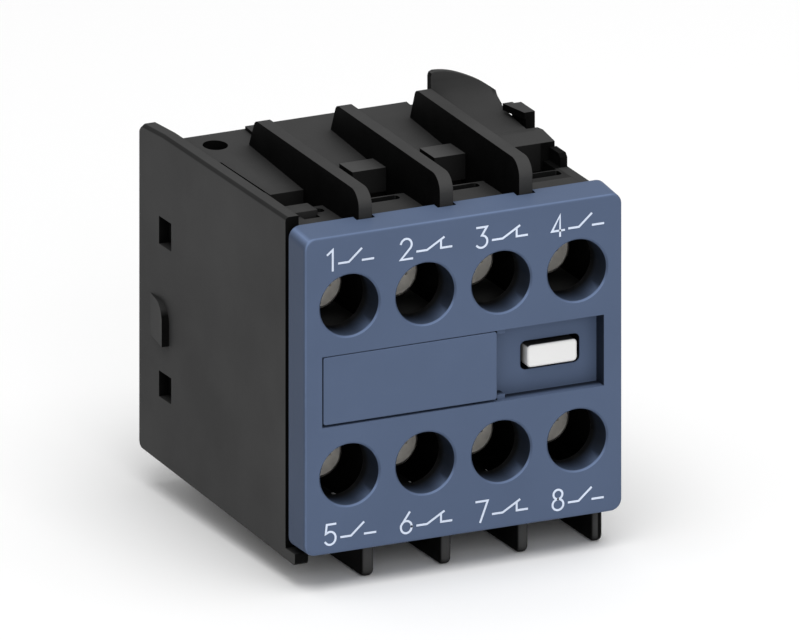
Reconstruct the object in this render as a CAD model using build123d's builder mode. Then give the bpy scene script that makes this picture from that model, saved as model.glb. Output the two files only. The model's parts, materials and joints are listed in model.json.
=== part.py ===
from build123d import *
import math
import os

os.makedirs("parts", exist_ok=True)

# Frame: X to the right seen from the front, +Y to the rear (towards the switch
# that the block clips onto), +Z up. The origin is the middle of the rear
# mounting plane, level with the middle between the two rows of screws.
# Depths "d" are measured rearwards from the cover's front face.

# ---- overall sizes (mm) ----
WIDTH = 36.0            # standard width of a four-pole block
DEPTH = 39.4            # cover face to rear mounting plane
HALF = WIDTH / 2
WALL = 1.5              # side walls
PITCH = 8.6             # pole pitch
POLES = [-1.5 * PITCH, -0.5 * PITCH, 0.5 * PITCH, 1.5 * PITCH]
NORMALLY_OPEN = [True, False, False, True]
ROW = 9.15              # height of a screw row above / below the middle

# ---- front cover ----
COVER_D = 3.87
COVER_TOP = 16.85
COVER_BOTTOM = -17.45
COVER_TOP_REAR = 17.2
COVER_PLATE = 1.6
COVER_SKIRT = 1.25
DRIVER_HOLE_R = 3.32
BOSS_R = 4.15
RECESS = (-16.03, 15.9, -3.7, 3.95)
RECESS_D = 1.8
LABEL_X1 = 3.92
WINDOW = (10.62, 0.2, 6.7, 3.1)      # centre x, centre z, width, height

# ---- indicator, carrier and stroke ----
STROKE = 4.0
INDICATOR_X = 10.6
INDICATOR = (5.65, 2.4)
INDICATOR_D = 1.1
BAR_D0, BAR_D1 = 20.4, 33.0
BAR_HALF_X = 15.9
BAR_HALF_Z = 3.5
WINDOW_W = 4.2
FORK_X = 5.2
FORK_END = 44.4

# ---- contacts ----
BRIDGE_W = 3.6
BRIDGE_T = 0.8
BRIDGE_HALF = 8.9
TIP_R = 1.3
TIP_T = 0.6
TIP_Z = 7.5
NO_TIP_FIXED = 31.0      # face of the fixed tip of an open pole
NC_TIP_FIXED = 24.0      # face of the fixed tip of a closed pole
GAP = 3.04
TOUCH = 0.04

# ---- terminals ----
HEAD_D0, HEAD_D1 = 7.4, 9.7
HEAD_R = 2.75
SHANK_R = 1.75
SHANK_END = 17.9
PITCH_THREAD = 0.6
CLAMP_TRAVEL = 3.6       # six turns
WASHER_D0, WASHER_D1 = 9.75, 10.95
WASHER = (6.6, 6.2)
PLATE_D0, PLATE_D1 = 15.95, 16.9
PLATE_Z0, PLATE_Z1 = 5.75, 12.9
LEG_T = 0.7
LEG_Z = 9.9              # inner face of the outer leg of an open pole

# ---- housing ----
CELL_INNER = 4.6
ENTRY_D0, ENTRY_D1 = 11.8, 15.95
DECK_D0, DECK_D1 = 16.35, 33.3
DECK_Z0, DECK_Z1 = 16.3, 17.5
FLOOR_Z = 16.0
BOTTOM_Z = -16.9
BASE_D0 = 37.4
TOP_RIBS = [(-10.4, -8.9, 20.3), (-1.2, 0.3, 20.65), (7.8, 9.3, 21.0)]
BOTTOM_RIBS = [(-10.4, -8.96), (-1.5, -0.2), (7.24, 8.55), (15.64, 16.95)]
BOTTOM_RIB_Z = -21.4
RIB_D = 3.15
RIB_D_BOTTOM = 2.4
RIB_FALL = 0.3           # the upper ribs are this much lower at the front

# ---- release lever ----
PIVOT_D, PIVOT_Z = 19.6, 13.3
PIN_R = 0.7


def y(d):
    """Y coordinate of a plane d behind the cover's front face."""
    return d - DEPTH


def slab(x0, x1, d0, d1, z0, z1, mode=Mode.ADD):
    """A box between two corners, given by x, depth and z."""
    with Locations(((x0 + x1) / 2, y((d0 + d1) / 2), (z0 + z1) / 2)):
        Box(abs(x1 - x0), abs(d1 - d0), abs(z1 - z0), mode=mode)


def side_profile(points, x0, x1, mode=Mode.ADD):
    """A flat piece between x0 and x1 with an outline of (depth, z) points."""
    with BuildSketch(Plane.YZ.offset(x0)) as outline:
        with BuildLine():
            Polyline(*[(y(d), z) for d, z in points], close=True)
        make_face()
    extrude(outline.sketch, amount=x1 - x0, mode=mode)


def rod_y(x, d0, d1, z, r, mode=Mode.ADD):
    """A round bar along the depth."""
    with Locations((x, y((d0 + d1) / 2), z)):
        Cylinder(r, abs(d1 - d0), rotation=(90, 0, 0), mode=mode)


# ======================================================================
# Housing: side walls, decks, ribs and the walls of the contact chambers
# ======================================================================
with BuildPart() as housing:
    # left side wall
    with BuildSketch(Plane.YZ.offset(-HALF)) as left_outline:
        with BuildLine():
            Polyline(
                (y(4.65), 17.95), (y(34.0), 17.95), (y(38.8), 17.65), (y(39.4), 17.2),
                (y(39.4), -16.7), (y(39.25), -17.1), (y(38.85), -17.32), (y(9.5), -18.65),
                (y(2.4), -19.05), (y(2.4), -17.75), (y(4.65), -17.75), close=True,
            )
        make_face()
    extrude(amount=WALL)
    # rounded upper and lower outer edges of the wall
    outer_face = housing.faces().sort_by(Axis.X)[0]
    fillet(outer_face.edges().sort_by(Axis.Z)[-3:], radius=0.45)
    fillet(housing.edges().filter_by(Axis.X).group_by(Axis.Z)[0], radius=0.4)
    # right side wall, lower at the front, cut down under the release lever
    side_profile(
        [(4.65, 15.7), (13.1, 15.7), (13.1, 16.7), (13.5, 17.1), (15.7, 17.1),
         (15.7, 14.2), (20.6, 14.2), (20.6, 16.0), (33.3, 16.0),
         (34.6, 15.2), (38.2, 15.2), (39.4, 14.0), (39.4, -16.2), (38.3, -17.3), (9.5, -18.0),
         (4.65, -18.0)],
        HALF - WALL, HALF,
    )
    # the wall is thinner in front of the lever
    slab(HALF - WALL - 0.1, HALF - 0.8, 13.0, 15.8, 15.7, 17.3, mode=Mode.SUBTRACT)
    # post beside the lever
    side_profile([(20.8, 15.8), (20.8, 19.3), (24.1, 19.3), (24.1, 15.8)], 16.95, HALF)
    # its head reaches over the lever's edge as a stop
    with BuildSketch(Plane.XY.offset(18.55)):
        with BuildLine():
            Polyline((17.2, y(20.8)), (16.8, y(20.8)), (16.1, y(24.5)), (17.2, y(24.5)), close=True)
        make_face()
    extrude(amount=0.75)
    # front decks, top and bottom
    slab(-HALF + WALL, HALF - WALL, 4.0, ENTRY_D0, FLOOR_Z - 1.4, FLOOR_Z)
    slab(HALF - WALL - 0.1, HALF, 4.1, 5.0, 12.0, 15.7)
    slab(-HALF + WALL, HALF - WALL, 4.0, ENTRY_D0, BOTTOM_Z, BOTTOM_Z + 1.5)
    # shelf behind the cover in the first bay
    slab(-HALF + WALL, -12.1, 9.4, ENTRY_D0, FLOOR_Z, 16.5)
    # strip along the left wall, from the shelf up to the deck
    side_profile([(9.4, 15.2), (9.4, 16.5), (16.4, 16.6), (16.4, 15.2)], -HALF + WALL, -14.7)
    # sloping top deck over the first three bays, with the web to the third rib
    side_profile(
        [(ENTRY_D1 + 0.35, DECK_Z0), (DECK_D1, DECK_Z1), (DECK_D1, DECK_Z1 - 1.7),
         (DECK_D0 + 1.0, DECK_Z0 - 1.5), (ENTRY_D1 + 0.35, DECK_Z0 - 1.5)],
        -HALF + WALL, 9.3,
    )
    # the deck is a little higher in the second and third bay
    side_profile([(16.6, 15.9), (16.6, 16.7), (33.1, 17.85), (33.1, 16.9)], -9.0, 9.3)
    # lower ledge behind the top deck, up to the base
    slab(-HALF + WALL, 9.3, 32.4, 37.3, 14.0, 15.2)
    slab(-HALF + WALL, 9.3, 32.4, DECK_D1, 14.2, 16.4)
    # raised blocks at the front edge of the second and third bay
    slab(-5.0, -1.1, ENTRY_D1, 19.1, 14.9, 17.5)
    slab(4.3, 7.9, ENTRY_D1, 19.5, 14.9, 17.7)
    # bottom deck behind the wire entries
    slab(-HALF + WALL, HALF - WALL, ENTRY_D1 + 0.35, 37.3, BOTTOM_Z, BOTTOM_Z + 1.5)
    # lowered deck below the release lever
    slab(9.0, HALF - WALL, 18.0, 33.0, 10.9, 11.7)
    # walls between the poles, front cells
    for s in (1, -1):
        top = 15.2
        for x in (-PITCH, 0.0, PITCH):
            slab(x - 0.5, x + 0.5, 4.0, 17.2, s * CELL_INNER, s * top)
            slab(x - 0.5, x + 0.5, 17.0, 37.3, s * 3.75, s * top)
        # inner walls of the cells and the wall behind the terminal plates
        slab(-HALF + WALL, HALF - WALL, 4.0, 18.1, s * CELL_INNER, s * 5.45)
        slab(-HALF + WALL, HALF - WALL, PLATE_D1 + 0.05, 18.1, s * CELL_INNER, s * (14.2 if s > 0 else 15.6))
    slab(-HALF + WALL, 9.3, PLATE_D1 + 0.05, 18.1, 14.0, 15.6)
    # third rib continues down as the lever's left side wall
    slab(7.8, 9.3, 16.3, 33.0, 10.9, 17.0)
    # ribs between the bays, top
    for x0, x1, top in TOP_RIBS:
        with BuildSketch(Plane.YZ.offset(x0)) as rib:
            with BuildLine():
                Polyline(
                    (y(RIB_D), 16.9), (y(RIB_D), top - RIB_FALL), (y(27.8), top), (y(29.2), 17.4),
                    (y(29.2), 15.6), (y(ENTRY_D1 + 0.4), 14.6), (y(4.1), 14.6), (y(4.1), 16.9),
                    close=True,
                )
            make_face()
            fillet(rib.vertices().sort_by(Axis.Y)[-2], radius=1.8)
            fillet(rib.vertices().sort_by(Axis.Y)[-1], radius=0.9)
        extrude(amount=x1 - x0)
    # ribs between the bays, bottom
    for x0, x1 in BOTTOM_RIBS:
        with BuildSketch(Plane.YZ.offset(x0)) as rib:
            with BuildLine():
                Polyline(
                    (y(RIB_D_BOTTOM), -17.75), (y(RIB_D_BOTTOM), BOTTOM_RIB_Z), (y(27.6), BOTTOM_RIB_Z),
                    (y(29.5), -17.4), (y(29.5), -15.6), (y(4.1), -15.6), (y(4.1), -17.75),
                    close=True,
                )
            make_face()
            fillet(rib.vertices().group_by(Axis.Y)[0], radius=0.7)
        extrude(amount=x1 - x0)
    # rounded lower edges of these ribs
    fillet(housing.edges().filter_by(Axis.Y).group_by(Axis.Z)[0], radius=0.5)
    # wedge lug on each side wall, and the windows for the noses of the base
    for s in (-1, 1):
        with BuildSketch(Plane.XY.offset(-4.4)) as lug:
            with BuildLine():
                Polyline(
                    (s * (HALF - 0.1), y(32.3)), (s * (HALF + 0.8), y(32.4)), (s * HALF, y(36.8)),
                    (s * (HALF - 0.1), y(36.8)), close=True,
                )
            make_face()
        extrude(lug.sketch, amount=4.5)
        # its upper front corner is round
        with BuildSketch(Plane.YZ.offset(s * (HALF + 1.0))) as corner:
            with Locations((y(33.4), -1.0)):
                Rectangle(2.6, 2.6)
                with Locations((1.1, -1.1)):
                    Circle(2.2, mode=Mode.SUBTRACT)
            with Locations((y(35.5), -2.9)):
                Rectangle(3.4, 5.0, mode=Mode.SUBTRACT)
        extrude(corner.sketch, amount=-s * 1.0, mode=Mode.SUBTRACT)
        slab(s * (HALF - WALL - 0.2), s * (HALF + 0.2), 31.8, 34.7, 6.0, 9.0, mode=Mode.SUBTRACT)
        slab(s * (HALF - WALL - 0.2), s * (HALF + 0.2), 31.8, 34.7, -10.5, -7.7, mode=Mode.SUBTRACT)
        # catch pockets for the cover's side tongues
        slab(s * (HALF - WALL - 0.1), s * (HALF - WALL + 0.65), 7.2, 8.8, -2.8, 2.8, mode=Mode.SUBTRACT)
    # slots in the floor behind the cover
    for x0, x1, d0, d1 in ((-11.95, -10.9, 9.9, 11.1), (-5.8, -2.15, 10.3, 11.55), (3.3, 6.9, 10.3, 11.55), (12.4, 16.1, 10.15, 11.6)):
        with BuildSketch(Plane.XY.offset(FLOOR_Z + 0.2)) as slot:
            with Locations(((x0 + x1) / 2, y((d0 + d1) / 2))):
                RectangleRounded(x1 - x0, d1 - d0, 0.45)
        extrude(slot.sketch, amount=-3.0, mode=Mode.SUBTRACT)
    slab(-14.0, -12.2, 8.5, 9.4, 13.0, 16.8, mode=Mode.SUBTRACT)
    # round hole and the slit of the sprung tongue in the first bay
    with Locations((-13.67, y(30.4), 17.0)):
        Cylinder(1.3, 6.0, mode=Mode.SUBTRACT)
    with BuildSketch(Plane.XY.offset(13.0)) as slit:
        with BuildLine():
            Polyline((-14.35, y(15.5)), (-14.1, y(15.5)), (-15.1, y(26.0)), (-15.3, y(26.0)), close=True)
        make_face()
    extrude(slit.sketch, amount=5.5, mode=Mode.SUBTRACT)
    # holes for the screw tips and slots for the legs of the fixed contacts
    for x in POLES:
        for s in (1, -1):
            rod_y(x, 16.5, 18.6, s * ROW, 2.15, mode=Mode.SUBTRACT)
            slab(x - 2.1, x + 2.1, 16.5, 18.6, s * (PLATE_Z0 - 0.15), s * (PLATE_Z0 + LEG_T + 0.15), mode=Mode.SUBTRACT)
    # hole for the lever's pin, from the right wall to the third rib
    with Locations(((8.2 + 18.5) / 2, y(PIVOT_D), PIVOT_Z)):
        Cylinder(PIN_R + 0.01, 18.5 - 8.2, rotation=(0, 90, 0), mode=Mode.SUBTRACT)
housing.part.label = "housing"
export_step(housing.part, "parts/housing.step")

# ======================================================================
# Base: rear plate with clip arms, hooks and the slots for the drive fork
# ======================================================================
with BuildPart() as base:
    slab(-16.3, 16.3, BASE_D0, DEPTH, -15.2, 15.0)
    # notch for the lever's latch
    slab(9.9, 16.4, BASE_D0 - 1, DEPTH + 1, 10.6, 15.3, mode=Mode.SUBTRACT)
    # slots for the drive fork
    for s in (-1, 1):
        slab(s * (FORK_X - 1.75), s * (FORK_X + 1.75), BASE_D0 - 1, DEPTH + 1, -4.1, 4.1, mode=Mode.SUBTRACT)
    # seat of the return spring
    rod_y(0, BASE_D0 - 1.0, BASE_D0 + 0.2, 0, 0.95)
    # clip arms with noses, two on each side
    for s in (-1, 1):
        for z0, z1 in ((6.3, 8.7), (-10.2, -8.0)):
            slab(s * 15.1, s * 16.3, 31.6, BASE_D0 + 0.2, z0, z1)
            with BuildSketch(Plane.XY.offset(z0)):
                with BuildLine():
                    Polyline(
                        (s * 16.2, y(32.2)), (s * 16.5, y(32.2)), (s * 17.0, y(33.6)),
                        (s * 17.0, y(34.5)), (s * 16.2, y(34.5)), close=True,
                    )
                make_face()
            extrude(amount=z1 - z0)
    # four hooks that slide down behind the edges of the switch's front openings
    for x in (-11.4, 11.4):
        for z in (8.2, -12.6):
            side_profile(
                [(DEPTH - 0.2, z), (DEPTH + 4.2, z), (DEPTH + 4.2, z - 3.0), (DEPTH + 3.6, z - 3.6),
                 (DEPTH + 2.4, z - 3.6), (DEPTH + 2.4, z - 1.9), (DEPTH - 0.2, z - 1.9)],
                x - 1.6, x + 1.6,
            )
base.part.label = "base"
export_step(base.part, "parts/base.step")

# ======================================================================
# Front cover: shell with driver holes, label recess and indicator window
# ======================================================================
with BuildPart() as front_cover:
    # the shell's top face rises a little towards the rear
    for depth, top in ((0, COVER_TOP), (COVER_D, COVER_TOP_REAR)):
        with BuildSketch(Plane.XZ.offset(DEPTH - depth)):
            with Locations((0, (top + COVER_BOTTOM) / 2)):
                RectangleRounded(WIDTH, top - COVER_BOTTOM, 1.25)
    loft()
    fillet(front_cover.faces().sort_by(Axis.Y)[0].outer_wire().edges(), radius=0.35)
    # hollow behind the front plate
    with BuildSketch(Plane.XZ.offset(DEPTH - COVER_PLATE)):
        with Locations((0, (COVER_TOP + COVER_BOTTOM) / 2)):
            RectangleRounded(WIDTH - 2 * COVER_SKIRT, COVER_TOP - COVER_BOTTOM - 2 * COVER_SKIRT, 0.6)
    extrude(amount=-(COVER_D + 0.1 - COVER_PLATE), mode=Mode.SUBTRACT)
    # bosses of the driver holes
    for x in POLES:
        for s in (1, -1):
            rod_y(x, 0.8, COVER_D, s * ROW, BOSS_R)
    # back wall of the recess
    slab(RECESS[0] - 1.0, RECESS[1] + 1.0, 1.0, 3.0, RECESS[2] - 0.9, RECESS[3] + 0.9)
    # side tongues that catch behind the housing's walls
    for s in (-1, 1):
        slab(s * 15.2, s * 16.2, 2.5, 8.9, -2.4, 2.4)
        with BuildSketch(Plane.XY.offset(-2.4)):
            with BuildLine():
                Polyline(
                    (s * 16.1, y(7.5)), (s * 16.65, y(7.5)), (s * 16.2, y(8.7)), (s * 16.1, y(8.7)), close=True,
                )
            make_face()
        extrude(amount=4.8)
    # driver holes
    for x in POLES:
        for s in (1, -1):
            rod_y(x, -1.0, COVER_D + 1.0, s * ROW, DRIVER_HOLE_R, mode=Mode.SUBTRACT)
    hole_edges = front_cover.faces().sort_by(Axis.Y)[0].edges().filter_by(GeomType.CIRCLE)
    chamfer([e for e in hole_edges if abs(e.radius - DRIVER_HOLE_R) < 0.01], length=0.18)
    # label recess
    slab(RECESS[0], RECESS[1], -1.0, RECESS_D, RECESS[2], RECESS[3], mode=Mode.SUBTRACT)
    # small steps that hold the label's right edge, top and bottom
    slab(LABEL_X1 + 0.1, LABEL_X1 + 1.0, 0.5, RECESS_D + 0.1, RECESS[3] - 0.55, RECESS[3] + 0.1)
    slab(LABEL_X1 + 0.1, LABEL_X1 + 1.0, 0.5, RECESS_D + 0.1, RECESS[2] - 0.1, RECESS[2] + 0.55)
    # window of the position indicator
    with BuildSketch(Plane.XZ.offset(DEPTH - 1.0)):
        with Locations((WINDOW[0], WINDOW[1])):
            RectangleRounded(WINDOW[2], WINDOW[3], 0.6)
    extrude(amount=-3.0, mode=Mode.SUBTRACT)
    # peg holes of the label plate
    for x in (-13.4, 1.4):
        rod_y(x, 1.0, 4.0, 0.175, 0.9, mode=Mode.SUBTRACT)
    # notches round the feet of the housing's ribs
    for x0, x1, top in TOP_RIBS:
        slab(x0 - 0.3, x1 + 0.3, RIB_D - 0.12, COVER_D + 1, 16.4, COVER_TOP_REAR + 1, mode=Mode.SUBTRACT)
front_cover.part.label = "front_cover"
export_step(front_cover.part, "parts/front_cover.step")

# ======================================================================
# Label plate: clips into the recess of the cover
# ======================================================================
with BuildPart() as label_plate:
    with BuildSketch(Plane.XZ.offset(DEPTH)):
        with Locations(((RECESS[0] + LABEL_X1) / 2, (RECESS[2] + RECESS[3]) / 2 + 0.07)):
            RectangleRounded(LABEL_X1 - RECESS[0] - 0.24, RECESS[3] - RECESS[2] - 0.34, 0.3)
    extrude(amount=-1.7)
    fillet(label_plate.faces().sort_by(Axis.Y)[0].outer_wire().edges(), radius=0.12)
    for x in (-13.4, 1.4):
        rod_y(x, 1.6, 3.5, 0.175, 0.8)
label_plate.part.label = "label_plate"
export_step(label_plate.part, "parts/label_plate.step")

# ======================================================================
# Contact carrier: cross bar with four windows, indicator finger, drive fork
# ======================================================================
no_window = (BAR_D0 + 1.0, NO_TIP_FIXED - GAP - TIP_T + 0.05)
nc_window = (NC_TIP_FIXED + TOUCH + TIP_T - 1.05, BAR_D1 - 1.6)
with BuildPart() as contact_carrier:
    slab(-BAR_HALF_X, BAR_HALF_X, BAR_D0, BAR_D1, -BAR_HALF_Z, BAR_HALF_Z)
    # indicator finger, a flat blade with a rounded end
    slab(INDICATOR_X - 2.3, INDICATOR_X + 2.3, 6.0, BAR_D0 + 0.5, -0.9, 1.3)
    with BuildSketch(Plane.XZ.offset(DEPTH - INDICATOR_D)):
        with Locations((INDICATOR_X, WINDOW[1])):
            RectangleRounded(INDICATOR[0], INDICATOR[1], 0.45)
    extrude(amount=-6.5)
    fillet(contact_carrier.faces().sort_by(Axis.Y)[0].outer_wire().edges(), radius=0.25)
    # guide foot on the left, runs in the channel between the cells
    slab(-12.0, -6.0, 12.0, BAR_D0 + 0.5, -1.4, 1.4)
    # drive fork to the rear
    for s in (-1, 1):
        slab(s * (FORK_X - 1.3), s * (FORK_X + 1.3), BAR_D1 - 0.5, FORK_END, -2.4, 2.4)
        slab(s * (FORK_X - 1.3), s * (FORK_X + 1.3), FORK_END - 1.3, FORK_END, -3.5, 3.5)
    # windows of the bridges and their springs
    for x, opened in zip(POLES, NORMALLY_OPEN):
        w = no_window if opened else nc_window
        slab(x - WINDOW_W / 2, x + WINDOW_W / 2, w[0], w[1], -BAR_HALF_Z - 1, BAR_HALF_Z + 1, mode=Mode.SUBTRACT)
    # bore of the return spring
    rod_y(0, 24.0, BAR_D1 + 1, 0, 1.55, mode=Mode.SUBTRACT)
contact_carrier.part.label = "contact_carrier"
export_step(contact_carrier.part, "parts/contact_carrier.step")

# ======================================================================
# Bridges, bridge tips and contact springs, one of each for every pole
# ======================================================================
for n, (px, opened) in enumerate(zip(POLES, NORMALLY_OPEN), start=1):
    if opened:
        tip_face = NO_TIP_FIXED - GAP
        plate = (tip_face - TIP_T - BRIDGE_T, tip_face - TIP_T)
        tips = (tip_face - TIP_T, tip_face)
        spring = (no_window[0], plate[0])
    else:
        tip_face = NC_TIP_FIXED + TOUCH
        plate = (tip_face + TIP_T, tip_face + TIP_T + BRIDGE_T)
        tips = (tip_face, tip_face + TIP_T)
        spring = (plate[1], nc_window[1])

    with BuildPart() as contact_bridge:
        with BuildSketch(Plane.XZ.offset(-y(plate[0]))):
            with Locations((px, 0)):
                RectangleRounded(BRIDGE_W, 2 * BRIDGE_HALF, 0.8)
        extrude(amount=-BRIDGE_T)
        # the waist sits in the carrier's window
        for s in (-1, 1):
            slab(px + s * 1.55, px + s * 2.5, plate[0] - 1, plate[1] + 1, -1.2, 1.2, mode=Mode.SUBTRACT)
    contact_bridge.part.label = f"contact_bridge_{n}"
    export_step(contact_bridge.part, f"parts/contact_bridge_{n}.step")

    with BuildPart() as bridge_tips:
        for s in (1, -1):
            rod_y(px, tips[0], tips[1], s * TIP_Z, TIP_R)
    bridge_tips.part.label = f"bridge_tips_{n}"
    export_step(bridge_tips.part, f"parts/bridge_tips_{n}.step")

    # the coil, a helix of round wire with an even pitch
    length = spring[1] - spring[0]
    wire_r = 0.16
    with BuildPart() as contact_spring:
        with BuildLine() as coil:
            Helix(pitch=(length - 2 * wire_r - 0.1) / 5, height=length - 2 * wire_r - 0.1, radius=1.35,
                  center=(px, y(spring[0]) + wire_r + 0.05, 0), direction=(0, 1, 0))
        with BuildSketch(Plane(origin=coil.edges()[0] @ 0, z_dir=coil.edges()[0] % 0)):
            Circle(wire_r)
        sweep(is_frenet=True)
    contact_spring.part.label = f"contact_spring_{n}"
    export_step(contact_spring.part, f"parts/contact_spring_{n}.step")

# ======================================================================
# Return spring of the carrier
# ======================================================================
with BuildPart() as return_spring:
    with BuildLine() as coil:
        Helix(pitch=(BASE_D0 - 24.0 - 0.5) / 9, height=BASE_D0 - 24.0 - 0.5, radius=1.2,
              center=(0, y(24.0) + 0.25, 0), direction=(0, 1, 0))
    with BuildSketch(Plane(origin=coil.edges()[0] @ 0, z_dir=coil.edges()[0] % 0)):
        Circle(0.17)
    sweep(is_frenet=True)
return_spring.part.label = "return_spring"
export_step(return_spring.part, "parts/return_spring.step")

# ======================================================================
# Fixed contacts: terminal plate with thread and the leg to the fixed tip
# ======================================================================
for n, (px, opened) in enumerate(zip(POLES, NORMALLY_OPEN), start=1):
    for s, row in ((1, "upper"), (-1, "lower")):
        with BuildPart() as fixed_contact:
            slab(px - 3.5, px + 3.5, PLATE_D0, PLATE_D1, s * PLATE_Z0, s * PLATE_Z1)
            slab(px - 1.8, px + 1.8, PLATE_D0 + 0.1, 22.6 + LEG_T, s * PLATE_Z0, s * (PLATE_Z0 + LEG_T))
            if opened:
                slab(px - 1.8, px + 1.8, 22.6, 22.6 + LEG_T, s * PLATE_Z0, s * (LEG_Z + LEG_T))
                slab(px - 1.8, px + 1.8, 22.6, NO_TIP_FIXED + TIP_T + LEG_T, s * LEG_Z, s * (LEG_Z + LEG_T))
                slab(px - 1.8, px + 1.8, NO_TIP_FIXED + TIP_T, NO_TIP_FIXED + TIP_T + LEG_T,
                     s * (PLATE_Z0 + 0.2), s * (LEG_Z + LEG_T))
            else:
                slab(px - 1.8, px + 1.8, 22.6, 22.6 + LEG_T, s * PLATE_Z0, s * 9.3)
            rod_y(px, PLATE_D0 - 1, PLATE_D1 + 1, s * ROW, SHANK_R + 0.03, mode=Mode.SUBTRACT)
        fixed_contact.part.label = f"fixed_contact_{row}_{n}"
        export_step(fixed_contact.part, f"parts/fixed_contact_{row}_{n}.step")

# the riveted tips of the eight fixed contacts
with BuildPart() as fixed_contact_tips:
    for px, opened in zip(POLES, NORMALLY_OPEN):
        for s in (1, -1):
            if opened:
                rod_y(px, NO_TIP_FIXED, NO_TIP_FIXED + TIP_T, s * TIP_Z, TIP_R)
            else:
                rod_y(px, 22.6 + LEG_T, NC_TIP_FIXED, s * TIP_Z, TIP_R)
fixed_contact_tips.part.label = "fixed_contact_tips"
export_step(fixed_contact_tips.part, "parts/fixed_contact_tips.step")

# ======================================================================
# Clamp washers and terminal screws, shown with the terminals open
# ======================================================================
for n, px in enumerate(POLES, start=1):
    for s, row in ((1, "upper"), (-1, "lower")):
        with BuildPart() as clamp_washer:
            with BuildSketch(Plane.XZ.offset(DEPTH - WASHER_D0)):
                with Locations((px, s * ROW)):
                    RectangleRounded(*WASHER, 2.0)
            extrude(amount=WASHER_D0 - WASHER_D1)
            # clamping ridges on the rear face
            for k in (-1, 1):
                slab(px + k * 2.2, px + k * 3.0, WASHER_D1 - 0.1, WASHER_D1 + 0.25,
                     s * ROW - 1.8, s * ROW + 1.8)
            rod_y(px, WASHER_D0 - 1, WASHER_D1 + 1, s * ROW, SHANK_R + 0.2, mode=Mode.SUBTRACT)
        clamp_washer.part.label = f"clamp_washer_{row}_{n}"
        export_step(clamp_washer.part, f"parts/clamp_washer_{row}_{n}.step")

        with BuildPart() as terminal_screw:
            with BuildSketch(Plane.YZ.offset(px)):
                with BuildLine():
                    Polyline(
                        (y(HEAD_D0), s * ROW), (y(HEAD_D0), s * ROW + HEAD_R - 0.35),
                        (y(HEAD_D0 + 0.35), s * ROW + HEAD_R), (y(HEAD_D1), s * ROW + HEAD_R),
                        (y(HEAD_D1), s * ROW + SHANK_R), (y(SHANK_END - 0.5), s * ROW + SHANK_R),
                        (y(SHANK_END), s * ROW + SHANK_R - 0.5), (y(SHANK_END), s * ROW), close=True,
                    )
                make_face()
            revolve(axis=Axis((px, 0, s * ROW), (0, 1, 0)))
            # driver recess: a cross
            for a in (0, 90):
                with Locations(Location((px, y(HEAD_D0 + 0.6), s * ROW), (0, a, 0))):
                    Box(2.8, 1.3, 0.7, mode=Mode.SUBTRACT)
        terminal_screw.part.label = f"terminal_screw_{row}_{n}"
        export_step(terminal_screw.part, f"parts/terminal_screw_{row}_{n}.step")

# ======================================================================
# Release lever with its pin and spring
# ======================================================================
TAB_D0, TAB_D1 = 28.0, 28.8
SWEEP = [(20.2, 17.75), (23.5, 18.1), (26.2, 18.65), (27.5, 19.7), (TAB_D0, 21.4)]

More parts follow.
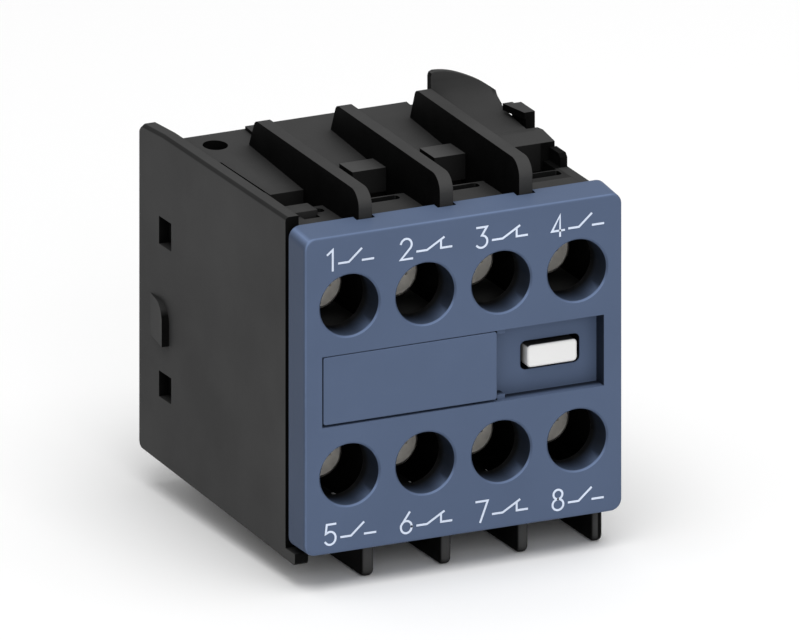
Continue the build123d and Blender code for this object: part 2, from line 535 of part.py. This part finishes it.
with BuildPart() as release_lever:
    # plate and concave sweep up to the thumb tab, arm and latch to the rear
    with BuildSketch(Plane.YZ.offset(9.6)) as body_outline:
        with BuildLine():
            Polyline((y(16.1), 14.5), (y(16.1), 17.5), (y(18.9), 17.9), (y(20.2), 17.75))
            Spline(*[(y(d), z) for d, z in SWEEP], tangents=[(1, 0.02), (0.05, 1)])
            Polyline(
                (y(TAB_D0), 21.4), (y(TAB_D0), 22.6), (y(TAB_D1), 22.6), (y(TAB_D1), 17.2), (y(34.7), 15.2),
                (y(34.7), 12.9), (y(41.0), 12.9), (y(41.0), 14.3), (y(41.5), 14.3), (y(42.4), 13.2),
                (y(42.4), 12.2), (y(33.5), 12.2), (y(33.5), 14.6), (y(29.0), 16.1), (y(20.6), 16.1),
                (y(20.4), 14.5), (y(16.1), 14.5),
            )
        make_face()
    extrude(body_outline.sketch, amount=6.6)
    # the plate's edge reaches over the right side wall
    with BuildSketch(Plane.YZ.offset(16.1)) as edge_outline:
        with BuildLine():
            Polyline((y(20.2), 17.0), (y(20.2), 17.75))
            Spline(*[(y(d), z) for d, z in SWEEP], tangents=[(1, 0.02), (0.05, 1)])
            Polyline(
                (y(TAB_D0), 21.4), (y(TAB_D0), 22.6), (y(TAB_D1), 22.6), (y(TAB_D1), 17.0), (y(20.2), 17.0),
            )
        make_face()
    extrude(edge_outline.sketch, amount=0.65)
    # front block goes on over the right side wall
    side_profile([(16.1, 14.5), (16.1, 17.5), (18.9, 17.9), (20.2, 17.75), (20.2, 14.5)], 16.1, HALF)
    # thumb tab over the right side wall
    slab(16.1, HALF, TAB_D0, TAB_D1, 17.9, 22.6)
    # curved upper edge of the tab, lower towards the right
    with BuildSketch(Plane.XZ.offset(-y(26.5))) as tab_cut:
        with BuildLine():
            Polyline((9.5, 23.5), (9.5, 22.0), (9.6, 22.0), (9.72, 22.35), (10.07, 22.5))
            Spline((10.07, 22.5), (11.6, 22.32), (13.5, 21.66), (15.35, 20.71), (16.75, 19.72), tangents=[(1, -0.02), (1, -0.75)])
            Polyline((16.75, 19.72), (17.15, 18.95), (17.6, 18.1), (17.8, 17.8), (19.5, 17.8), (19.5, 23.5), (9.5, 23.5))
        make_face()
    extrude(tab_cut.sketch, amount=-3.5, mode=Mode.SUBTRACT)
    # narrower at the latch
    slab(9.5, 10.2, 33.0, 43.0, 12.0, 16.0, mode=Mode.SUBTRACT)
    slab(16.0, 16.4, 33.0, 43.0, 12.0, 16.0, mode=Mode.SUBTRACT)
    # hub on the pin
    with Locations((12.5, y(PIVOT_D), PIVOT_Z)):
        Cylinder(1.35, 5.8, rotation=(0, 90, 0))
    slab(9.6, 15.4, PIVOT_D - 1.35, PIVOT_D + 0.8, PIVOT_Z, 14.6)
    with Locations((12.5, y(PIVOT_D), PIVOT_Z)):
        Cylinder(PIN_R + 0.05, 12, rotation=(0, 90, 0), mode=Mode.SUBTRACT)
release_lever.part.label = "release_lever"
export_step(release_lever.part, "parts/release_lever.step")

with BuildPart() as lever_pin:
    with Locations(((8.3 + 17.6) / 2, y(PIVOT_D), PIVOT_Z)):
        Cylinder(PIN_R, 17.6 - 8.3, rotation=(0, 90, 0))
lever_pin.part.label = "lever_pin"
export_step(lever_pin.part, "parts/lever_pin.step")

with BuildPart() as lever_spring:
    with BuildLine() as coil:
        Helix(pitch=3.9 / 4, height=3.9, radius=1.5, center=(12.8, y(25.5), 11.95), direction=(0, 0, 1))
    with BuildSketch(Plane(origin=coil.edges()[0] @ 0, z_dir=coil.edges()[0] % 0)):
        Circle(0.18)
    sweep(is_frenet=True)
lever_spring.part.label = "lever_spring"
export_step(lever_spring.part, "parts/lever_spring.step")
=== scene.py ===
import json
import math

import bmesh
import bpy
from mathutils import Matrix, Vector


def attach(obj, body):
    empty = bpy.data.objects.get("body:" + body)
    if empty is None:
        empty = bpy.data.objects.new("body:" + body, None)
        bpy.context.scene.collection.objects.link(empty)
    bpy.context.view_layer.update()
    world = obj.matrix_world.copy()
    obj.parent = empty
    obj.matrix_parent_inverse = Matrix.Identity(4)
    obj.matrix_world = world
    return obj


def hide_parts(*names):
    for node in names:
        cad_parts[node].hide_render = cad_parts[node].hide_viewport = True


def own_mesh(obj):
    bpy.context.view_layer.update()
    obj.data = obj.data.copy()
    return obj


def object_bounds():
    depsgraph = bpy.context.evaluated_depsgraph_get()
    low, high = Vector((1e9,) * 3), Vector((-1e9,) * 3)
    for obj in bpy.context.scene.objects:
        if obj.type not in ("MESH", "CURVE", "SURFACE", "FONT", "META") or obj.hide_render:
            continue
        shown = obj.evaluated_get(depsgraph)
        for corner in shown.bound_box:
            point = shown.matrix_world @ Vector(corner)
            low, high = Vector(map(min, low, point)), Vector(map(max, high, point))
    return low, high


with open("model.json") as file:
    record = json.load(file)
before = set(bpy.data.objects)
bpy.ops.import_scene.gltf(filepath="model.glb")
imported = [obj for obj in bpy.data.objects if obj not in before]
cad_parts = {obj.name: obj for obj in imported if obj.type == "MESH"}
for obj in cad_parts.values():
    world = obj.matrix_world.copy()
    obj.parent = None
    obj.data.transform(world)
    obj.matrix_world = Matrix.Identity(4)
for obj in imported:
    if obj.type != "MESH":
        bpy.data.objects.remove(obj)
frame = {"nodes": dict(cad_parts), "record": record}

cad_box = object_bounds()
nodes = frame["nodes"]
scene = bpy.context.scene
MM = 0.001
DEPTH = 39.4


def at(x, d, z):
    """A point given in millimetres: x, depth behind the cover's front face, z."""
    return Vector((x * MM, (d - DEPTH) * MM, z * MM))


# ---------------------------------------------------------------- camera
AZ, EL = math.radians(-25.5), math.radians(18.65)
DISTANCE = 1.0
cam_data = bpy.data.cameras.new("camera")
cam_data.type = "ORTHO"
cam_data.ortho_scale = 800 / 9770.0
cam_data.clip_start, cam_data.clip_end = 0.1, 20.0
camera = bpy.data.objects.new("camera", cam_data)
scene.collection.objects.link(camera)
forward = Vector((-math.sin(AZ) * math.cos(EL), math.cos(AZ) * math.cos(EL), -math.sin(EL)))
right = Vector((math.cos(AZ), math.sin(AZ), 0.0))
up = right.cross(forward)
face_centre = at(0.0, 0.0, -0.3)
aim = face_centre - right * 6.52 * MM + up * 5.67 * MM
camera.matrix_world = Matrix.Translation(aim - forward * DISTANCE) @ Matrix((right, up, -forward)).transposed().to_4x4()
scene.camera = camera


# ---------------------------------------------------------------- materials
def new_material(name):
    mat = bpy.data.materials.new(name)
    mat.use_nodes = True
    nt = mat.node_tree
    nt.nodes.clear()
    out = nt.nodes.new("ShaderNodeOutputMaterial")
    bsdf = nt.nodes.new("ShaderNodeBsdfPrincipled")
    nt.links.new(bsdf.outputs["BSDF"], out.inputs["Surface"])
    return mat, nt, bsdf


def noise(nt, coord, scale, detail=3.0, rough=0.55):
    n = nt.nodes.new("ShaderNodeTexNoise")
    n.inputs["Scale"].default_value = scale
    n.inputs["Detail"].default_value = detail
    n.inputs["Roughness"].default_value = rough
    nt.links.new(coord, n.inputs["Vector"])
    return n


def ramp(nt, fac, stops):
    r = nt.nodes.new("ShaderNodeValToRGB")
    el = r.color_ramp.elements
    while len(el) < len(stops):
        el.new(0.5)
    for e, (pos, col) in zip(el, stops):
        e.position = pos
        e.color = (*col, 1.0)
    nt.links.new(fac, r.inputs["Fac"])
    return r


def math_node(nt, op, a, b):
    m = nt.nodes.new("ShaderNodeMath")
    m.operation = op
    for i, v in enumerate((a, b)):
        if isinstance(v, (int, float)):
            m.inputs[i].default_value = v
        else:
            nt.links.new(v, m.inputs[i])
    return m.outputs[0]


def painted_cavity_shade(nt, colour, reach, floor_value, power):
    """Painted shade: darken a colour in cavities and close to steps, where shade falls, by ambient occlusion."""
    ao = nt.nodes.new("ShaderNodeAmbientOcclusion")
    ao.samples = 6
    ao.inputs["Distance"].default_value = reach * MM
    deep = math_node(nt, "POWER", ao.outputs["AO"], power)
    m = nt.nodes.new("ShaderNodeMapRange")
    m.inputs["To Min"].default_value = floor_value
    m.inputs["To Max"].default_value = 1.0
    nt.links.new(deep, m.inputs["Value"])
    mul = nt.nodes.new("ShaderNodeVectorMath")
    mul.operation = "SCALE"
    nt.links.new(colour, mul.inputs[0])
    nt.links.new(m.outputs["Result"], mul.inputs["Scale"])
    return mul.outputs[0]


def moulded_plastic(name, base, rough=0.5, spec=0.4, grain=0.02, spread=0.12, edge=0.12, dark=None):
    """Injection moulded plastic: fine spark-eroded grain, faint flow marks and softened edges."""
    mat, nt, bsdf = new_material(name)
    tc = nt.nodes.new("ShaderNodeTexCoord")
    coord = tc.outputs["Object"]
    flow = noise(nt, coord, 90.0, 4.0)
    lo = tuple(c * (1 - spread) for c in base)
    hi = tuple(c * (1 + spread) for c in base)
    colour = ramp(nt, flow.outputs["Fac"], [(0.3, lo), (0.7, hi)])
    base_colour = colour.outputs["Color"]
    # painted shade: with the shade option given, the colour is darkened in cavities by ambient occlusion
    if dark:
        base_colour = painted_cavity_shade(nt, base_colour, *dark)
    nt.links.new(base_colour, bsdf.inputs["Base Color"])
    fine = noise(nt, coord, 5200.0, 2.0)
    rmap = nt.nodes.new("ShaderNodeMapRange")
    rmap.inputs["To Min"].default_value = rough - 0.05
    rmap.inputs["To Max"].default_value = rough + 0.07
    nt.links.new(fine.outputs["Fac"], rmap.inputs["Value"])
    nt.links.new(rmap.outputs["Result"], bsdf.inputs["Roughness"])
    bsdf.inputs["Specular IOR Level"].default_value = spec
    bump = nt.nodes.new("ShaderNodeBump")
    bump.inputs["Strength"].default_value = 0.35
    bump.inputs["Distance"].default_value = grain * MM
    nt.links.new(fine.outputs["Fac"], bump.inputs["Height"])
    bev = nt.nodes.new("ShaderNodeBevel")
    bev.samples = 4
    bev.inputs["Radius"].default_value = edge * MM
    nt.links.new(bev.outputs["Normal"], bump.inputs["Normal"])
    nt.links.new(bump.outputs["Normal"], bsdf.inputs["Normal"])
    return mat


def sep(nt, vec):
    n = nt.nodes.new("ShaderNodeSeparateXYZ")
    nt.links.new(vec, n.inputs[0])
    return n.outputs


def step(nt, value, edge, width):
    """0 below edge, 1 above edge + width."""
    m = nt.nodes.new("ShaderNodeMapRange")
    m.inputs["From Min"].default_value = edge
    m.inputs["From Max"].default_value = edge + width
    nt.links.new(value, m.inputs["Value"])
    return m.outputs["Result"]


def y_of(d):
    return (d - DEPTH) * MM


def between(nt, value, centre, half):
    """1 where the value is within half of the centre."""
    off = math_node(nt, "ABSOLUTE", math_node(nt, "SUBTRACT", value, centre * MM), 0.0)
    return math_node(nt, "LESS_THAN", off, half * MM)


def product(nt, *values):
    total = values[0]
    for v in values[1:]:
        total = math_node(nt, "MULTIPLY", total, v)
    return total


def scaled(nt, colour, factor):
    mul = nt.nodes.new("ShaderNodeVectorMath")
    mul.operation = "SCALE"
    nt.links.new(colour, mul.inputs[0])
    nt.links.new(factor, mul.inputs["Scale"])
    return mul.outputs[0]


def black_moulding(name, base, painted_shade_base, rough=0.55, spec=0.3, dark=None):
    """Black moulding with painted shade: spark-eroded grain where the part shows, and the draft faces of ribs and
    cells, small front faces, some ledges and floors painted near black as shade."""
    mat = moulded_plastic(name, base, rough=rough, spec=spec, dark=dark)
    nt = mat.node_tree
    bsdf = next(n for n in nt.nodes if n.type == "BSDF_PRINCIPLED")
    tc = next(n for n in nt.nodes if n.type == "TEX_COORD")
    nx, ny, nz = sep(nt, tc.outputs["Normal"])
    px, py, pz = sep(nt, tc.outputs["Object"])
    # painted shade: inner side faces, front faces deep in the block and at the wall ends, and the band along the wall's
    # top edge get a near black colour
    side = step(nt, math_node(nt, "ABSOLUTE", nx, 0.0), 0.6, 0.2)
    inner = math_node(nt, "SUBTRACT", 1.0, step(nt, math_node(nt, "ABSOLUTE", px, 0.0), 0.01755, 0.0002))
    side = math_node(nt, "MULTIPLY", side, inner)
    front = step(nt, math_node(nt, "MULTIPLY", ny, -1.0), 0.7, 0.2)
    deep = math_node(nt, "MULTIPLY", step(nt, py, y_of(9.8), 0.0002), 0.75)
    low = math_node(nt, "SUBTRACT", 1.0, step(nt, pz, 0.0183, 0.0004))
    wall_end = step(nt, math_node(nt, "ABSOLUTE", px, 0.0), 0.0163, 0.0001)
    front = math_node(nt, "MULTIPLY", front, math_node(nt, "MAXIMUM", math_node(nt, "MULTIPLY", deep, low), wall_end))
    band = math_node(nt, "MULTIPLY", step(nt, math_node(nt, "ABSOLUTE", nx, 0.0), 0.15, 0.2), step(nt, nz, 0.2, 0.2))
    band = math_node(nt, "MULTIPLY", band, step(nt, math_node(nt, "ABSOLUTE", px, 0.0), 0.0174, 0.0001))
    mask = math_node(nt, "MAXIMUM", math_node(nt, "MAXIMUM", side, front), math_node(nt, "MULTIPLY", band, 0.6))
    # painted shade on the wall of the round hole in the first bay
    hx = math_node(nt, "SUBTRACT", px, -13.67 * MM)
    hy = math_node(nt, "SUBTRACT", py, y_of(30.4))
    r2 = math_node(nt, "ADD", math_node(nt, "MULTIPLY", hx, hx), math_node(nt, "MULTIPLY", hy, hy))
    wall = math_node(nt, "MULTIPLY", math_node(nt, "LESS_THAN", r2, (1.36 * MM) ** 2), math_node(nt, "LESS_THAN", nz, 0.5))
    mask = math_node(nt, "MAXIMUM", mask, wall)
    # painted shade on the ledge of the right wall in front of the lever, and on the floor of the fourth bay
    up_face = step(nt, nz, 0.5, 0.2)
    ledge = product(nt, up_face, step(nt, px, 0.0163, 0.0001), between(nt, py, 14.4 - DEPTH, 1.5), step(nt, pz, 0.0156, 0.0001))
    bay = product(nt, up_face, between(nt, px, 14.3, 2.6), between(nt, py, 11.0 - DEPTH, 2.0), between(nt, pz, 16.0, 0.7), 0.5)
    mask = math_node(nt, "MAXIMUM", mask, math_node(nt, "MAXIMUM", ledge, bay))
    mask = math_node(nt, "MINIMUM", mask, 1.0)
    old = bsdf.inputs["Base Color"].links[0].from_socket
    # painted light: the top faces of the blocks and the lower ribs' fronts are made lighter
    painted_light_tops = product(nt, up_face, between(nt, px, 1.5, 6.7), between(nt, py, 17.6 - DEPTH, 2.1), between(nt, pz, 17.6, 0.5), 0.45)
    painted_light_low_fronts = product(nt, step(nt, math_node(nt, "MULTIPLY", ny, -1.0), 0.7, 0.2),
                        step(nt, math_node(nt, "MULTIPLY", pz, -1.0), 0.0150, 0.0004), 0.35)
    old = scaled(nt, old, math_node(nt, "ADD", math_node(nt, "ADD", painted_light_tops, painted_light_low_fronts), 1.0))
    # the masked faces are mixed to the painted shade colour
    mix = nt.nodes.new("ShaderNodeMix")
    mix.data_type = "RGBA"
    nt.links.new(mask, mix.inputs[0])
    nt.links.new(old, mix.inputs[6])
    dark = ramp(nt, noise(nt, tc.outputs["Object"], 400.0, 3.0).outputs["Fac"],
                [(0.3, tuple(c * 0.7 for c in painted_shade_base)), (0.7, tuple(c * 1.3 for c in painted_shade_base))])
    nt.links.new(dark.outputs["Color"], mix.inputs[7])
    nt.links.new(mix.outputs[2], bsdf.inputs["Base Color"])
    return mat


def white_moulding(name, base, **kw):
    """White moulding with painted shade: the upper face of the indicator finger is painted near black in its window,
    and its side is painted darker towards the rear."""
    mat = moulded_plastic(name, base, **kw)
    nt = mat.node_tree
    bsdf = next(n for n in nt.nodes if n.type == "BSDF_PRINCIPLED")
    tc = next(n for n in nt.nodes if n.type == "TEX_COORD")
    nx, ny, nz = sep(nt, tc.outputs["Normal"])
    px, py, pz = sep(nt, tc.outputs["Object"])
    in_window = product(nt, between(nt, px, 10.62, 3.6), between(nt, pz, 0.2, 2.0))
    upper = product(nt, step(nt, nz, 0.5, 0.2), step(nt, py, y_of(1.2), 0.0001), 0.97)
    side = product(nt, step(nt, math_node(nt, "MULTIPLY", nx, -1.0), 0.5, 0.2), step(nt, py, y_of(1.6), 0.0012), 0.9)
    mask = product(nt, math_node(nt, "MAXIMUM", upper, side), in_window)
    old = bsdf.inputs["Base Color"].links[0].from_socket
    nt.links.new(scaled(nt, old, math_node(nt, "SUBTRACT", 1.0, mask)), bsdf.inputs["Base Color"])
    return mat


def blue_moulding(name, base, **kw):
    """Blue moulding with painted shade: the driver holes, the window, the steps of the recess and the side faces are
    painted much darker than the grained front."""
    mat = moulded_plastic(name, base, **kw)
    nt = mat.node_tree
    bsdf = next(n for n in nt.nodes if n.type == "BSDF_PRINCIPLED")
    tc = next(n for n in nt.nodes if n.type == "TEX_COORD")
    nx, ny, nz = sep(nt, tc.outputs["Normal"])
    px, py, pz = sep(nt, tc.outputs["Object"])
    # distance from the nearest driver hole's axis
    hx = math_node(nt, "SUBTRACT", math_node(nt, "MODULO", math_node(nt, "ADD", px, 0.0172), 0.0086), 0.0043)
    hz = math_node(nt, "SUBTRACT", math_node(nt, "ABSOLUTE", pz, 0.0), 0.00915)
    r2 = math_node(nt, "ADD", math_node(nt, "MULTIPLY", hx, hx), math_node(nt, "MULTIPLY", hz, hz))
    in_hole = math_node(nt, "LESS_THAN", r2, (3.46 * MM) ** 2)
    fade = nt.nodes.new("ShaderNodeMapRange")
    fade.inputs["From Min"].default_value = y_of(0.15)
    fade.inputs["From Max"].default_value = y_of(3.2)
    fade.inputs["To Min"].default_value = 0.35
    fade.inputs["To Max"].default_value = 0.98
    nt.links.new(py, fade.inputs["Value"])
    hole = math_node(nt, "MULTIPLY", math_node(nt, "MULTIPLY", in_hole, fade.outputs["Result"]),
                     step(nt, py, y_of(0.19), 0.00005))
    side = step(nt, math_node(nt, "ABSOLUTE", nx, 0.0), 0.6, 0.2)
    outer = step(nt, math_node(nt, "ABSOLUTE", px, 0.0), 0.0172, 0.0002)
    inner_side = math_node(nt, "MULTIPLY", math_node(nt, "MULTIPLY", side, math_node(nt, "SUBTRACT", 1.0, outer)), 0.82)
    outer_side = math_node(nt, "MULTIPLY", math_node(nt, "MULTIPLY", side, outer), 0.36)
    window = math_node(nt, "MULTIPLY", between(nt, px, 10.62, 3.38), between(nt, pz, 0.2, 1.58))
    window = math_node(nt, "MULTIPLY", math_node(nt, "MULTIPLY", window, step(nt, py, y_of(1.85), 0.0001)), 0.95)
    ledge = product(nt, step(nt, nz, 0.6, 0.2), between(nt, pz, -3.8, 0.8), between(nt, px, 0.0, 17.0),
                    math_node(nt, "LESS_THAN", py, y_of(1.9)), step(nt, py, y_of(0.5), 0.0007), 0.85)
    # painted shade: holes, side faces, window and recess ledge are darkened
    total = math_node(nt, "MAXIMUM", math_node(nt, "MAXIMUM", hole, inner_side), math_node(nt, "MAXIMUM", outer_side, window))
    total = math_node(nt, "MAXIMUM", total, ledge)
    mul = nt.nodes.new("ShaderNodeVectorMath")
    mul.operation = "SCALE"
    nt.links.new(bsdf.inputs["Base Color"].links[0].from_socket, mul.inputs[0])
    # painted highlight along the upper and left edges, varied by noise, and painted light on the lighter top
    ax, ay, az = (math_node(nt, "ABSOLUTE", v, 0.0) for v in (nx, ny, nz))
    slant = math_node(nt, "SUBTRACT", 1.0, math_node(nt, "MAXIMUM", math_node(nt, "MAXIMUM", ax, ay), az))
    facing = math_node(nt, "MULTIPLY", math_node(nt, "SUBTRACT", nz, nx), 0.9)
    facing = math_node(nt, "MINIMUM", math_node(nt, "MAXIMUM", facing, 0.0), 1.0)
    painted_highlight = math_node(nt, "MULTIPLY", math_node(nt, "MULTIPLY", step(nt, slant, 0.05, 0.15), facing), 0.75)
    upper = math_node(nt, "MULTIPLY", step(nt, nz, 0.6, 0.3), 0.14)
    highlight_noise = noise(nt, tc.outputs["Object"], 300.0, 2.0).outputs["Fac"]
    gain = math_node(nt, "ADD", math_node(nt, "MULTIPLY", painted_highlight, math_node(nt, "ADD", highlight_noise, 0.5)), upper)
    factor = math_node(nt, "MULTIPLY", math_node(nt, "SUBTRACT", 1.0, total), math_node(nt, "ADD", gain, 1.0))
    nt.links.new(factor, mul.inputs["Scale"])
    nt.links.new(mul.outputs[0], bsdf.inputs["Base Color"])
    return mat


def metal(name, base, rough=0.35, spread=0.08, scratch=900.0, grain=0.01, painted_shade_depth=None):
    """Plated or rolled metal with fine directional scratches. Given a (depth, factor) pair, the metal behind that depth
    is darker by that factor: painted shade."""
    mat, nt, bsdf = new_material(name)
    bsdf.inputs["Metallic"].default_value = 1.0
    tc = nt.nodes.new("ShaderNodeTexCoord")
    mp = nt.nodes.new("ShaderNodeMapping")
    mp.inputs["Scale"].default_value = (1.0, 0.08, 1.0)
    nt.links.new(tc.outputs["Object"], mp.inputs["Vector"])
    n = noise(nt, mp.outputs["Vector"], scratch, 4.0)
    lo = tuple(c * (1 - spread) for c in base)
    hi = tuple(min(1.0, c * (1 + spread)) for c in base)
    colour = ramp(nt, n.outputs["Fac"], [(0.3, lo), (0.7, hi)])
    base_colour = colour.outputs["Color"]
    # painted shade: metal behind the given depth is darker
    if painted_shade_depth:
        py = sep(nt, tc.outputs["Object"])[1]
        fade = nt.nodes.new("ShaderNodeMapRange")
        fade.inputs["From Min"].default_value = y_of(painted_shade_depth[0])
        fade.inputs["From Max"].default_value = y_of(painted_shade_depth[0] + 0.05)
        fade.inputs["To Min"].default_value = 1.0
        fade.inputs["To Max"].default_value = painted_shade_depth[1]
        nt.links.new(py, fade.inputs["Value"])
        mul = nt.nodes.new("ShaderNodeVectorMath")
        mul.operation = "SCALE"
        nt.links.new(base_colour, mul.inputs[0])
        nt.links.new(fade.outputs["Result"], mul.inputs["Scale"])
        base_colour = mul.outputs[0]
    nt.links.new(base_colour, bsdf.inputs["Base Color"])
    rmap = nt.nodes.new("ShaderNodeMapRange")
    rmap.inputs["To Min"].default_value = max(0.05, rough - 0.1)
    rmap.inputs["To Max"].default_value = rough + 0.1
    nt.links.new(n.outputs["Fac"], rmap.inputs["Value"])
    nt.links.new(rmap.outputs["Result"], bsdf.inputs["Roughness"])
    bump = nt.nodes.new("ShaderNodeBump")
    bump.inputs["Strength"].default_value = 0.3
    bump.inputs["Distance"].default_value = grain * MM
    nt.links.new(n.outputs["Fac"], bump.inputs["Height"])
    nt.links.new(bump.outputs["Normal"], bsdf.inputs["Normal"])
    return mat


MATS = {
    "black_plastic": black_moulding("black_plastic", (0.048, 0.048, 0.048), (0.003, 0.003, 0.003), rough=0.6, spec=0.03, dark=(3.0, 0.05, 1.0)),
    "blue_plastic": blue_moulding("blue_plastic", (0.078, 0.108, 0.178), rough=0.5, spec=0.07, grain=0.012, spread=0.04, edge=0.15, dark=(2.5, 0.78, 1.0)),
    "white_plastic": white_moulding("white_plastic", (0.74, 0.74, 0.735), rough=0.35, spec=0.5, grain=0.004, spread=0.02, edge=0.2),
    "brass": metal("brass", (0.78, 0.58, 0.28), rough=0.3),
    "silver": metal("silver", (0.83, 0.82, 0.78), rough=0.35),
    "zinc_steel": metal("zinc_steel", (0.80, 0.77, 0.71), rough=0.5, painted_shade_depth=(9.72, 0.3)),
    "spring_steel": metal("spring_steel", (0.55, 0.55, 0.56), rough=0.28),
    "pin_steel": metal("pin_steel", (0.5, 0.5, 0.5), rough=0.3),
    "print_white": moulded_plastic("print_white", (0.60, 0.67, 0.80), rough=0.6, spec=0.2, grain=0.003, spread=0.08, edge=0.02),
}
for part in frame["record"]["subparts"]:
    ob = nodes[part["node"]]
    ob.data.materials.clear()
    ob.data.materials.append(MATS[part["material_slot"]])

# ---------------------------------------------------------------- terminal numbers
def arc(cx, cy, rx, ry, a0, a1, n=12):
    return [(cx + rx * math.cos(math.radians(a0 + (a1 - a0) * i / n)),
             cy + ry * math.sin(math.radians(a0 + (a1 - a0) * i / n))) for i in range(n + 1)]


# strokes of each sign on a grid with the height of a figure as 1, and its width
SIGNS = {
    "1": (0.36, [[(0.04, 0.80), (0.30, 1.0), (0.30, 0.0)]]),
    "2": (0.60, [arc(0.30, 0.71, 0.28, 0.29, 165, -35, 14) + [(0.02, 0.0), (0.60, 0.0)]]),
    "3": (0.58, [[(0.04, 1.0), (0.54, 1.0), (0.28, 0.60)] + arc(0.26, 0.30, 0.30, 0.30, 75, -140, 14)]),
    "4": (0.62, [[(0.62, 0.26), (0.0, 0.26), (0.42, 1.0), (0.42, 0.0)]]),
    "5": (0.58, [[(0.54, 1.0), (0.10, 1.0), (0.05, 0.56)] + arc(0.27, 0.32, 0.29, 0.32, 125, -145, 14)]),
    "6": (0.60, [arc(0.30, 0.30, 0.28, 0.30, 0, 360, 20), [(0.46, 1.0), (0.03, 0.40)]]),
    "7": (0.58, [[(0.0, 1.0), (0.58, 1.0), (0.20, 0.0)]]),
    "8": (0.58, [arc(0.29, 0.27, 0.28, 0.27, 90, 450, 20), arc(0.29, 0.77, 0.23, 0.23, -90, 270, 20)]),
    # contact symbols: open and closed
    "o": (1.75, [[(0.0, 0.30), (0.50, 0.30), (1.14, 0.86)], [(1.22, 0.30), (1.75, 0.30)]]),
    "c": (1.75, [[(0.0, 0.30), (0.50, 0.30), (1.36, 0.80)], [(1.75, 0.30), (1.22, 0.30), (1.22, 0.66)]]),
}


def stroke_outline(points, half):
    """Left and right borders of a line of the given half width, with mitred corners."""
    left, right_side = [], []
    count = len(points)
    for i, (x, z) in enumerate(points):
        before = Vector(points[i]) - Vector(points[i - 1]) if i > 0 else None
        after = Vector(points[i + 1]) - Vector(points[i]) if i < count - 1 else None
        a_dir = (before or after).normalized()
        b_dir = (after or before).normalized()
        n_a, n_b = Vector((-a_dir.y, a_dir.x)), Vector((-b_dir.y, b_dir.x))
        mitre = (n_a + n_b)
        mitre = mitre.normalized() if mitre.length > 1e-6 else n_a
        length = half / max(0.45, mitre.dot(n_a))
        shift = Vector((0, 0))
        if before is None:
            shift = -a_dir * half
        elif after is None:
            shift = b_dir * half
        left.append(Vector((x, z)) + shift + mitre * length)
        right_side.append(Vector((x, z)) + shift - mitre * length)
    return left, right_side


def lettering(name, items, cap, stroke):
    """Raised print on the cover's front: items are (text, centre x, base z) in mm."""
    mesh = bpy.data.meshes.new(name)
    bm = bmesh.new()
    back = y_of(0.02)
    for text, cx, bz in items:
        gap = 0.27
        width = sum(SIGNS[c][0] for c in text) + gap * (len(text) - 1)
        x = cx - width * cap / 2
        for c in text:
            w, strokes = SIGNS[c]
            for layer, line in enumerate(strokes):
                front = y_of(-0.03 - 0.004 * layer)
                pts = [(x + u * cap, bz + v * cap) for u, v in line]
                left, right_side = stroke_outline(pts, stroke / 2)
                rows = []
                for l, r in zip(left, right_side):
                    rows.append([bm.verts.new((l.x * MM, front, l.y * MM)), bm.verts.new((r.x * MM, front, r.y * MM)),
                                 bm.verts.new((r.x * MM, back, r.y * MM)), bm.verts.new((l.x * MM, back, l.y * MM))])
                for p, q in zip(rows, rows[1:]):
                    for k in range(4):
                        bm.faces.new((p[k], p[(k + 1) % 4], q[(k + 1) % 4], q[k]))
                bm.faces.new(rows[0][::-1])
                bm.faces.new(rows[-1])
            x += (w + gap) * cap
    bmesh.ops.recalc_face_normals(bm, faces=bm.faces)
    bm.to_mesh(mesh)
    bm.free()
    ob = bpy.data.objects.new(name, mesh)
    scene.collection.objects.link(ob)
    return ob


POLES = (-12.9, -4.3, 4.3, 12.9)
print_items = [(t, x, 14.3 - 1.1) for t, x in zip(("1o", "2c", "3c", "4o"), POLES)]
print_items += [(t, x, -15.3 - 1.1) for t, x in zip(("5o", "6c", "7c", "8o"), POLES)]
numbers = lettering("terminal_numbers", print_items, 2.2, 0.22)
numbers.data.materials.append(MATS["print_white"])
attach(numbers, "block")

# ---------------------------------------------------------------- springs copied onto their bodies
def sprung(node, body):
    """A coil with the shape of the spring at rest, copied from its part, which is hidden, and attached to the given
    body."""
    rest = nodes[node]
    coil = bpy.data.objects.new(node + "_coil", rest.data.copy())
    coil.matrix_world = rest.matrix_world.copy()
    scene.collection.objects.link(coil)
    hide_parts(node)
    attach(coil, body)
    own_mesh(coil)


sprung("return_spring", "block")
sprung("contact_spring_1", "carrier")
sprung("contact_spring_4", "carrier")
sprung("lever_spring", "block")

# ---------------------------------------------------------------- stage
floor_z = cad_box[0][2]
floor_mesh = bpy.data.meshes.new("floor")
bm = bmesh.new()
bmesh.ops.create_grid(bm, x_segments=1, y_segments=1, size=2.5)
bm.to_mesh(floor_mesh)
bm.free()
floor = bpy.data.objects.new("floor", floor_mesh)
floor.location = (0, 0, floor_z - 0.00002)
scene.collection.objects.link(floor)
fmat, fnt, fb = new_material("floor")
fb.inputs["Base Color"].default_value = (0.95, 0.95, 0.95, 1)
fb.inputs["Roughness"].default_value = 0.7
floor_mesh.materials.append(fmat)

world = bpy.data.worlds.new("world")
scene.world = world
world.use_nodes = True
world.node_tree.nodes["Background"].inputs["Color"].default_value = (1, 1, 1, 1)
world.node_tree.nodes["Background"].inputs["Strength"].default_value = 0.58


def area_light(name, loc, target, size, power, colour=(1, 1, 1)):
    data = bpy.data.lights.new(name, "AREA")
    data.shape = "RECTANGLE"
    data.size, data.size_y = size
    data.energy = power
    data.color = colour
    ob = bpy.data.objects.new(name, data)
    ob.location = loc
    ob.rotation_euler = (Vector(target) - Vector(loc)).to_track_quat("-Z", "Y").to_euler()
    scene.collection.objects.link(ob)
    return ob


area_light("top", (-0.05, -0.25, 0.9), (0, -0.02, 0), (0.8, 0.8), 5.7)
area_light("front", (-0.15, -0.9, 0.35), (0, -0.02, 0), (0.5, 0.5), 1.9)

scene.view_settings.view_transform = "Standard"
scene.view_settings.look = "None"
